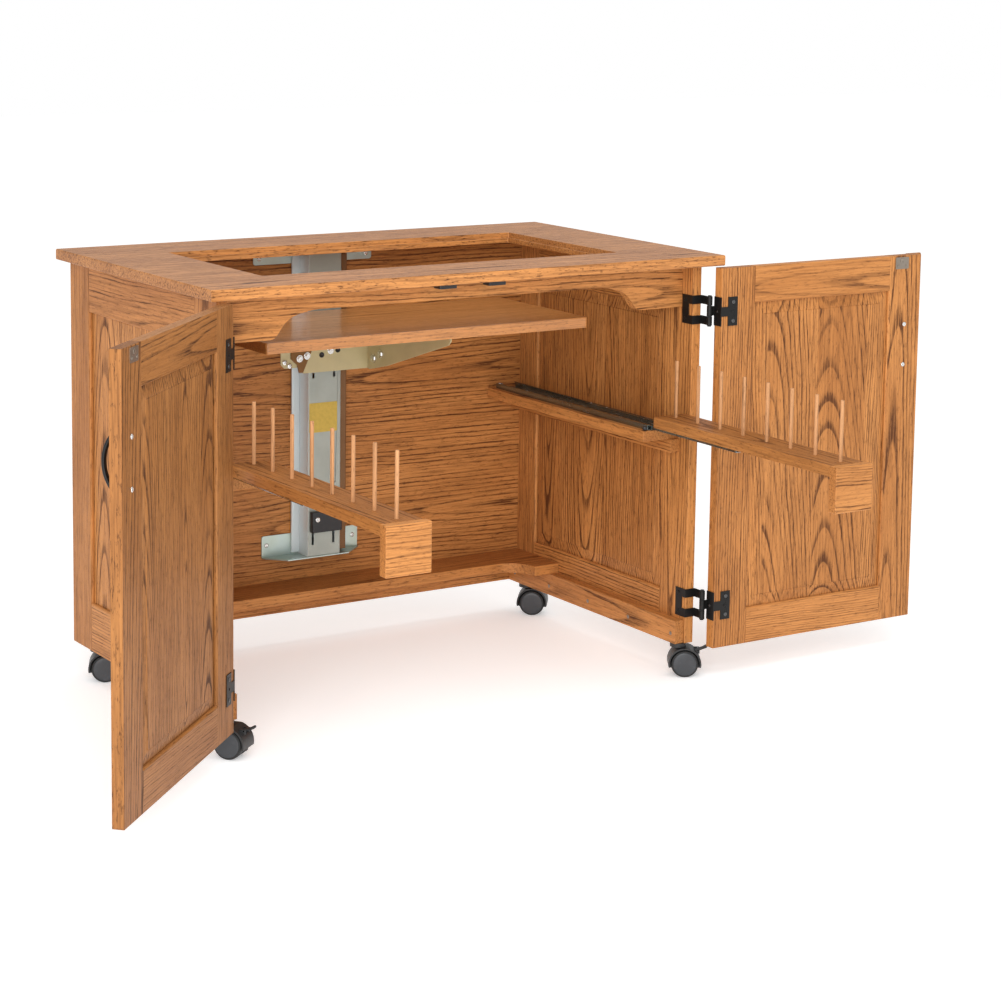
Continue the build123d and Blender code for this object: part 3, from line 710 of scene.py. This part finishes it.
class TABLE_OT_rack_oak(Builder):
    """Give the thread racks' boards, end blocks and dowels their oak."""

    bl_idname = "table.rack_oak"
    bl_label = "Rack Oak"

    def execute(self, context):
        s = context.scene.table_oak
        edge = context.scene.table_pieces.edge
        pale = [tuple(c * shade for c in s.dowel) for shade in (1.0, 0.82, 0.42)]
        seeds = {"left": 40.0, "right": 44.0}
        for side, sign in SIDES.items():
            seed = seeds[side]
            oak_board("rack_board_" + side, edge, grain="Y", face="Z", middle=sign * 0.42, seed=seed,
                      depth=-0.45, slope=0.02, lines=0.75, tone=0.30, colours=oak_tones(0.80))
            oak_board("rack_block_" + side, edge * 1.6, 3, grain="X", face="Y", middle=0.44, seed=seed + 1,
                      depth=0.80, slope=0.01, ring=0.6, lines=0.7, tone=-0.2)
            oak_board("rack_dowels_" + side, 0.0005, grain="Z", face="X", middle=-0.4, seed=seed + 2,
                      depth=0.5, slope=0.01, lines=0.7, gloss=0.15, lacquer=0.0, colours=pale)
        oak_board("lift_platform", edge, grain="X", face="Z", middle=0.06, seed=48.0, depth=-0.62, slope=0.01,
                  lines=0.65, tone=-0.3, gloss=-0.16, lacquer=0.85)
        return {"FINISHED"}


class TABLE_OT_metal(Builder):
    """Give the hinges, slides, lift and casters' CAD parts their finishes."""

    bl_idname = "table.metal"
    bl_label = "Metal and Plastic"

    def execute(self, context):
        finishes = {
            "hinge_frame_leaves": ("hinge_black", 0.0004),
            "lift_column": ("zinc", 0.0004),
            "lift_guide": ("guide_zinc", 0.0004),
            "lift_top_bracket": ("chromate", 0.0004),
            "lift_base_bracket": ("chromate", 0.0004),
            "lift_stop": ("black_plastic", 0.0008),
            "carriage_beam": ("carriage_paint", 0.0005),
            "carriage_arm": ("carriage_paint", 0.0005),
            "carriage_bracket": ("bronze", 0.0005),
            "slide_channels": ("slide_steel", 0.0002),
            "magnetic_catches": ("black_plastic", 0.0006),
            "caster_plates": ("black_plastic", 0.0008),
        }
        for side in SIDES:
            finishes["hinge_leaves_" + side] = ("hinge_black", 0.0004)
            finishes["door_strike_" + side] = ("catch_steel", 0.0003)
            finishes["slide_middle_" + side] = ("slide_steel", 0.0002)
            finishes["slide_inner_" + side] = ("slide_steel", 0.0002)
        for key in CASTERS:
            finishes["caster_hood_" + key] = ("black_plastic", 0.0005)
        for node, (name, width) in finishes.items():
            give_finish(NODES[node], finish(name))
            bevelled(NODES[node], width)
        return {"FINISHED"}


class TABLE_OT_screws(Builder):
    """Screws and bolts of the case, hinges, racks and lift."""

    bl_idname = "table.screws"
    bl_label = "Screws and Bolts"

    def execute(self, context):
        s = context.scene.table_pieces
        self.case(s)
        self.doors()
        self.lift(s)
        return {"FINISHED"}

    def case(self, s):
        bright, dark, dull = bmesh.new(), bmesh.new(), bmesh.new()
        for x in (-0.118, 0.108):
            cross_head(bright, (x, 0.281, 0.737), -Y_AXIS, s.head, 0.0016)
        for x in (-0.102, 0.082):
            cross_head(bright, (x, 0.281, 0.196), -Y_AXIS, s.head, 0.0016)
        cross_head(bright, (-0.020, 0.231, 0.246), -Y_AXIS, s.head * 1.15, 0.0016)
        for y in (-0.254, -0.122, 0.009, 0.140, 0.262):
            for sign in (-1, 1):
                cross_head(dull, (sign * 0.444, y, 0.080), -sign * X_AXIS, s.head * 0.85, 0.0010)
        for z in HINGE_HEIGHTS:
            for dz in (-HINGE_SCREW_RISE, HINGE_SCREW_RISE):
                for sign in (-1, 1):
                    cross_head(dark, (sign * 0.4614, -0.252, z + dz), -sign * X_AXIS, 0.0034, 0.0011)
        screws = shown_piece("case_screw_heads", bright, finish("screw_steel"), "cabinet")
        shown_piece("cleat_screws", dull, finish("catch_steel"), "cabinet")
        shown_piece("frame_hinge_screws", dark, finish("hinge_black"), "cabinet")
        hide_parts("case_screws")

    def doors(self):
        for side in SIDES:
            body = "door_" + side
            hinge, dark = bmesh.new(), bmesh.new()
            inner, edge = door_way(side, 0, 1, 0), door_way(side, 1, 0, 0)
            for z in HINGE_HEIGHTS:
                for dz in (-HINGE_SCREW_RISE, HINGE_SCREW_RISE):
                    cross_head(hinge, door_point(side, 0.447, -0.2719, z + dz), inner, 0.0036, 0.0012)
                turned(dark, [(0, 0.0022), (0.0006, 0.0022), (0.0009, 0.0014)],
                       door_point(side, 0.449, -0.2719, z), inner, 20)
                cross_head(hinge, door_point(side, 0.4746, -0.284, z), edge, 0.0030, 0.0009)
            plate = bmesh.new()
            for dx in (-0.0095, 0.0095):
                cross_head(plate, door_point(side, 0.049 + dx, -0.2723, 0.7345), inner, 0.0026, 0.0009)
            dimple = [(0, 0.0046), (0.0004, 0.0046), (0.0008, 0.0040), (0.0005, 0.0030), (0.0003, 0.0006)]
            turned(plate, dimple, door_point(side, 0.049, -0.2723, 0.7435), inner, 28)
            shown_piece("catch_dimples_" + side, plate, finish("catch_steel"), body)
            shown_piece("door_screws_" + side, hinge, finish("dark_screw"), body)
            shown_piece("hinge_rivets_" + side, dark, finish("hinge_black"), body)

    def lift(self, s):
        body = "lift_carriage"
        bolts = bmesh.new()
        for x, y, z in ((-0.1052, 0.2048, 0.5545), (-0.0949, 0.2048, 0.5475), (-0.0580, 0.2022, 0.5860)):
            cross_head(bolts, (x, y, z), -Y_AXIS, 0.0050, 0.0024)
        for x, y, z in ((-0.0755, 0.2022, 0.5600), (-0.0600, 0.2022, 0.5640), (-0.0092, 0.2048, 0.5700)):
            hex_bolt(bolts, (x, y, z), -Y_AXIS, s.bolt, 0.0042)
        for y, z in ((0.1832, 0.5525), (0.1577, 0.5640)):
            hex_bolt(bolts, (0.070, y, z), -X_AXIS, s.bolt * 1.25, 0.0046)
        shown_piece("carriage_bolts", bolts, finish("screw_steel"), body, smooth=False)
        holes = bmesh.new()
        for x, z in ((-0.028, 0.563), (0.006, 0.570)):
            turned(holes, [(0, 0.0052), (-0.0010, 0.0050), (-0.0011, 0.0038), (0.0020, 0.0036)],
                   (x, 0.2050, z), Y_AXIS, 24)
        shown_piece("carriage_grommets", holes, finish("black_plastic"), body)


class TABLE_OT_label(Builder):
    """Blank gold plate on the lift column."""

    bl_idname = "table.label"
    bl_label = "Column Plate"

    def execute(self, context):
        mesh = bmesh.new()
        outline = []
        x0, x1, z0, z1, r = -0.0325, 0.0265, 0.410, 0.466, 0.0018
        corners = ((x1 - r, z1 - r, 0), (x0 + r, z1 - r, 90), (x0 + r, z0 + r, 180), (x1 - r, z0 + r, 270))
        for cx, cz, start in corners:
            for k in range(5):
                a = math.radians(start + 22.5 * k)
                outline.append((cx + r * math.cos(a), cz + r * math.sin(a)))
        rings = []
        for y, inset in ((0.2431, 0.0), (0.24275, 0.0), (0.2426, 0.00025)):
            rings.append([(x * (1 - inset), y, z) for x, z in outline])
        rings_mesh(mesh, rings)
        shown_piece("column_plate", mesh, finish("plate_gold"), "cabinet", smooth=False)
        return {"FINISHED"}


class TABLE_OT_pulls(Builder):
    """Arched door pulls with flared feet, and their screws inside the doors."""

    bl_idname = "table.pulls"
    bl_label = "Door Pulls"

    def execute(self, context):
        s = context.scene.table_pieces
        for side in SIDES:
            mesh = bmesh.new()
            x, face, z0, z1 = 0.0385, -0.2925, 0.5469, 0.6231
            rings = []
            stations, reach, rise = 41, 0.0525, 0.0235
            for k in range(stations):
                t = 2 * k / (stations - 1) - 1
                z = (z0 + z1) / 2 + reach * t
                out = rise * (1 - t * t) ** 0.94 - 0.0008
                slope = math.atan2(-2 * rise * t, reach)
                thin = abs(t) ** 4
                half_w = s.pull_width / 2 * (1 - 0.30 * thin)
                half_t = 0.0031 * (1 - 0.35 * thin)
                rings.append([
                    door_point(side, x + u, face - out - v * math.cos(slope), z - v * math.sin(slope))
                    for u, v in soft_section(half_w, half_t, 0.6, 0.75, 16)
                ])
            rings_mesh(mesh, rings)
            way = door_way(side, 0, -1, 0)
            foot = [(0, 0.0056), (0.0012, 0.0056), (0.0020, 0.0050), (0.0090, 0.0046), (0.0122, 0.0036)]
            for z in (z0, z1):
                turned(mesh, foot, door_point(side, x, face, z), way, 32)
            pull = shown_piece("pull_" + side, mesh, finish("hinge_black"), "door_" + side)
            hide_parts("door_pull_" + side)
            smoothed(pull)
            screws = bmesh.new()
            for z in (z0, z1):
                cross_head(screws, door_point(side, x, -0.2735, z), door_way(side, 0, 1, 0), 0.0042, 0.0020)
            shown_piece("pull_screws_" + side, screws, finish("screw_steel"), "door_" + side)
        return {"FINISHED"}


class TABLE_OT_casters(Builder):
    """Twin wheels with treads and domed discs, and the rounded brake levers."""

    bl_idname = "table.casters"
    bl_label = "Casters"

    def execute(self, context):
        for key in CASTERS:
            low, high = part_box("caster_wheels_" + key)
            centre = (low + high) / 2
            plate_y = -0.256 if key[0] == "f" else 0.243
            stem = Vector(((0.460 if key[1] == "r" else -0.460), plate_y, centre.z))
            back = (centre - stem).normalized()
            axle = back.cross(Z_AXIS).normalized()
            self.wheels(key, centre, axle)
            if key[0] == "f":
                self.lever(key, centre, back, axle)
        return {"FINISHED"}

    def wheels(self, key, centre, axle):
        treads, discs = bmesh.new(), bmesh.new()
        for sign in (-1, 1):
            way = axle * sign
            tread = [(0.0034, 0.006), (0.0034, 0.0225), (0.0042, 0.0241), (0.0056, 0.0250), (0.0150, 0.0250),
                     (0.0178, 0.0246), (0.0192, 0.0236), (0.0198, 0.0224), (0.0198, 0.0216), (0.0190, 0.0212)]
            turned(treads, tread, centre, way, 72)
            disc = [(0.0188, 0.0213), (0.0196, 0.0211), (0.0200, 0.0204), (0.0203, 0.0192), (0.0206, 0.0160),
                    (0.0208, 0.0120), (0.0209, 0.0080), (0.02095, 0.0040), (0.0210, 0.0008)]
            turned(discs, disc, centre, way, 72)
        turned(treads, [(-0.0180, 0.0029), (0.0180, 0.0029)], centre, axle, 24)
        wheel = shown_piece("wheels_" + key, treads, finish("tyre_plastic"), "wheels_" + key)
        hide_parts("caster_wheels_" + key)
        shown_piece("wheel_discs_" + key, discs, finish("disc_plastic"), "wheels_" + key)

    def lever(self, key, centre, back, axle):
        """A tab that starts at the hood's lugs, necks in and ends in a rounded pad."""
        steep, arm = math.radians(44), 0.0342
        pivot = centre + back * arm * math.cos(steep) + Z_AXIS * arm * math.sin(steep)
        tilt = math.radians(12)
        out = (back * math.cos(tilt) + Z_AXIS * math.sin(tilt)).normalized()
        up = (Z_AXIS * math.cos(tilt) - back * math.sin(tilt)).normalized()
        stations = (
            (-0.0030, 0.0054, 0.0020, -0.0002), (0.0000, 0.0060, 0.0030, 0.0),
            (0.0040, 0.0058, 0.0026, 0.0004), (0.0080, 0.0056, 0.0021, 0.0008), (0.0110, 0.0068, 0.0022, 0.0014),
            (0.0140, 0.0076, 0.0026, 0.0022), (0.0165, 0.0068, 0.0026, 0.0027),
            (0.0180, 0.0046, 0.0018, 0.0028),
        )
        rings = []
        for along, half_w, half_t, rise in stations:
            rings.append([
                pivot + out * along + axle * u + up * (v + rise)
                for u, v in soft_section(half_w, half_t, 0.7, 0.8, 20)
            ])
        mesh = bmesh.new()
        rings_mesh(mesh, rings)
        turned(mesh, [(-0.0093, 0.0014), (0.0093, 0.0014)], pivot, axle, 20)
        black = finish("black_plastic")
        lever = shown_piece("brake_tab_" + key, mesh, black, "brake_" + key)
        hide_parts("brake_lever_" + key)
        smoothed(lever)


class TABLE_OT_slides(Builder):
    """Screws, ball cages, ribs, rivets, front bumpers and rear stop springs of the rack slides."""

    bl_idname = "table.slides"
    bl_label = "Slide Fittings"

    def execute(self, context):
        for side, sign in SIDES.items():
            x = sign * SLIDE_X
            screws = bmesh.new()
            for y in (-0.195, -0.070, 0.140, 0.240):
                cross_head(screws, (x, y, CHANNEL_FLOOR), Z_AXIS, 0.0042, 0.0012)
            shown_piece("slide_screws_" + side, screws, finish("screw_steel"), "cabinet")
            self.balls(side, x)
            rivets = bmesh.new()
            rivet = [(0.00005, 0.0014), (0.0006, 0.0014), (0.0013, 0.0010), (0.0015, 0.0004)]
            for y in (-0.050, 0.002):
                turned(rivets, rivet, (sign * 0.4378, y, 0.4640), Z_AXIS, 20)
            member = "slide_member_" + side
            shown_piece("slide_rivets_" + side, rivets, finish("screw_steel"), member)
            self.ribs(side, x)
            bumper = bmesh.new()
            profile = [(0, 0.0030), (0.0008, 0.0042), (0.0050, 0.0045), (0.0074, 0.0042), (0.0082, 0.0030)]
            turned(bumper, profile, (x - sign * 0.0275, -0.2285, 0.45505), Z_AXIS, 32)
            shown_piece("slide_bumper_" + side, bumper, finish("black_plastic"), "cabinet")
            coil = bmesh.new()
            self.coil(coil, Vector((x - sign * 0.010, 0.2745, SLIDE_Z)))
            shown_piece("slide_stop_" + side, coil, finish("screw_steel"), "cabinet")
        return {"FINISHED"}

    def balls(self, side, x):
        """Two rows of balls in their thin strips."""
        mesh = bmesh.new()
        half, high = 0.0002, 0.0024
        for edge in (-0.0190, 0.0190):
            for k in range(14):
                place = Matrix.Translation((x + edge, -0.214 + 0.0105 * k, SLIDE_Z))
                bmesh.ops.create_icosphere(mesh, subdivisions=2, radius=0.0013, matrix=place)
            rings_mesh(mesh, [
                [(x + edge + dx, y, SLIDE_Z + dz)
                 for dx, dz in ((-half, -high), (half, -high), (half, high), (-half, high))]
                for y in (-0.220, -0.070)
            ])
        shown_piece("ball_cage_" + side, mesh, finish("screw_steel"), "cabinet")

    def ribs(self, side, x):
        """Four pressed ribs along the channel's floor, which run out at their ends."""
        mesh = bmesh.new()
        foot, crest, under = 0.0013, 0.0008, 0.4560
        for dx in (-0.0085, -0.0028, 0.0028, 0.0085):
            rings = []
            for y, high in ((-0.228, 0.0002), (-0.226, 0.0010), (0.266, 0.0010), (0.268, 0.0002)):
                top = CHANNEL_FLOOR + high
                rings.append([(x + dx - foot, y, under), (x + dx + foot, y, under),
                              (x + dx + crest, y, top), (x + dx - crest, y, top)])
            rings_mesh(mesh, rings)
        shown_piece("slide_ribs_" + side, mesh, finish("slide_steel"), "cabinet", smooth=False)

    def coil(self, mesh, centre):
        """A small coil spring that cushions the rack at the back."""
        rings = []
        turns, per_turn, pitch, wire, radius = 4, 20, 0.0022, 0.0007, 0.0034
        for k in range(turns * per_turn + 1):
            a = 2 * math.pi * k / per_turn
            ahead = -0.003 + pitch * k / per_turn
            middle = centre + Vector((math.cos(a) * radius, ahead, math.sin(a) * radius))
            out = Vector((math.cos(a), 0, math.sin(a)))
            rings.append([middle + out * wire * math.cos(b) + Y_AXIS * wire * math.sin(b)
                          for b in (math.pi * i / 4 for i in range(8))])
        rings_mesh(mesh, rings)


class TABLE_OT_studio(Builder):
    """Pale floor, soft lights, white surround and camera."""

    bl_idname = "table.studio"
    bl_label = "Studio"

    def execute(self, context):
        s = context.scene.table_studio
        self.floor(s)
        self.lights(s)
        self.camera(context, s)
        context.scene.view_settings.view_transform = "Standard"
        context.scene.view_settings.look = "None"
        return {"FINISHED"}

    def floor(self, s):
        mesh = bmesh.new()
        bmesh.ops.create_grid(mesh, x_segments=8, y_segments=8, size=14)
        data = bpy.data.meshes.new("studio_floor")
        mesh.to_mesh(data)
        mesh.free()
        floor = linked("studio_floor", data)
        paint = Paint("studio_floor")
        haze = paint.noise(paint.place(), 1.5, 2.0)
        tint = tuple(s.floor)
        tone = paint.mix(haze * 0.05, tint, tuple(c * 0.97 for c in tint))
        x, y = paint.split(paint.place())[:2]
        far = (x * x + y * y).sum("SQRT").between(1.5, 5.0)
        glow = paint.mix(far, (0.68, 0.68, 0.68), (1.0, 1.0, 1.0))
        paint.finish(Base_Color=tone, Roughness=0.9, Specular_IOR_Level=0.1, Emission_Color=glow,
                     Emission_Strength=s.glow)
        give_finish(floor, paint.material)

    def lights(self, s):
        self.area("key_light", (-2.5, -3.3, 1.6), (0.0, 0.0, 0.40), (2.4, 2.4), s.key)
        self.area("top_light", (0.2, -0.4, 3.2), (0.1, -0.1, 0.4), (2.8, 2.8), s.top)
        self.area("side_light", (-3.4, -1.6, 1.5), (0, 0, 0.5), (2.0, 2.0), s.side)
        self.area("edge_light", (-0.5, -1.9, 2.9), (0.0, -0.3, 0.7), (3.4, 0.3), s.edge)
        world = bpy.data.worlds.new("surround")
        bpy.context.scene.world = world
        world.use_nodes = True
        tree = world.node_tree
        back = tree.nodes["Background"]
        back.inputs["Color"].default_value = (1, 1, 1, 1)
        back.inputs["Strength"].default_value = s.sky
        seen = tree.nodes.new("ShaderNodeBackground")
        seen.inputs["Color"].default_value = (1, 1, 1, 1)
        seen.inputs["Strength"].default_value = s.backdrop
        path = tree.nodes.new("ShaderNodeLightPath")
        either = tree.nodes.new("ShaderNodeMixShader")
        tree.links.new(path.outputs["Is Camera Ray"], either.inputs[0])
        tree.links.new(back.outputs[0], either.inputs[1])
        tree.links.new(seen.outputs[0], either.inputs[2])
        tree.links.new(either.outputs[0], tree.nodes["World Output"].inputs["Surface"])

    def area(self, name, place, aim, size, power):
        light = bpy.data.lights.new(name, "AREA")
        light.shape = "RECTANGLE"
        light.size, light.size_y = size
        light.energy = power
        lamp = linked(name, light)
        lamp.location = place
        lamp.rotation_mode = "QUATERNION"
        lamp.rotation_quaternion = (Vector(aim) - Vector(place)).to_track_quat("-Z", "Y")

    def camera(self, context, s):
        data = bpy.data.cameras.new("camera")
        camera = linked("camera", data)
        data.sensor_width = 36
        data.lens = s.lens
        data.shift_y = s.drop
        data.clip_start, data.clip_end = 0.05, 60
        flat = math.cos(s.pitch)
        ahead = Vector((math.sin(s.yaw) * flat, math.cos(s.yaw) * flat, -math.sin(s.pitch)))
        level = Vector((math.cos(s.yaw), -math.sin(s.yaw), 0))
        up = level.cross(ahead)
        right = level * math.cos(s.roll) + up * math.sin(s.roll)
        up = right.cross(ahead)
        turn = Matrix((right, up, -ahead)).transposed()
        camera.matrix_world = Matrix.Translation(s.eye) @ turn.to_4x4()
        context.scene.camera = camera


class TABLE_PT_panel(bpy.types.Panel):
    """Lists the table's operators and settings in the sidebar."""

    bl_label = "Sewing Table"
    bl_idname = "TABLE_PT_panel"
    bl_space_type = "VIEW_3D"
    bl_region_type = "UI"
    bl_category = "Sewing Table"

    def draw(self, context):
        for operator in OPERATORS:
            self.layout.operator(operator.bl_idname)
        for key in SETTINGS:
            box = self.layout.box()
            group = getattr(context.scene, key)
            for name in group.bl_rna.properties.keys():
                if name not in ("rna_type", "name"):
                    box.prop(group, name)


SETTINGS = {
    "table_oak": OakSettings,
    "table_metal": MetalSettings,
    "table_pieces": PieceSettings,
    "table_studio": StudioSettings,
}
OPERATORS = (
    TABLE_OT_case_oak, TABLE_OT_door_oak, TABLE_OT_rack_oak, TABLE_OT_metal, TABLE_OT_screws,
    TABLE_OT_label, TABLE_OT_pulls, TABLE_OT_casters, TABLE_OT_slides, TABLE_OT_studio,
)


def register():
    for kind in (*SETTINGS.values(), *OPERATORS, TABLE_PT_panel):
        bpy.utils.register_class(kind)
    for key, kind in SETTINGS.items():
        setattr(bpy.types.Scene, key, PointerProperty(type=kind))


def unregister():
    for key in SETTINGS:
        delattr(bpy.types.Scene, key)
    for kind in reversed((*SETTINGS.values(), *OPERATORS, TABLE_PT_panel)):
        bpy.utils.unregister_class(kind)


def main():
    register()
    for operator in OPERATORS:
        family, name = operator.bl_idname.split(".")
        result = getattr(getattr(bpy.ops, family), name)()
        if "FINISHED" not in result:
            raise RuntimeError(operator.bl_idname + " did not finish")


if __name__ == "__main__":
    main()
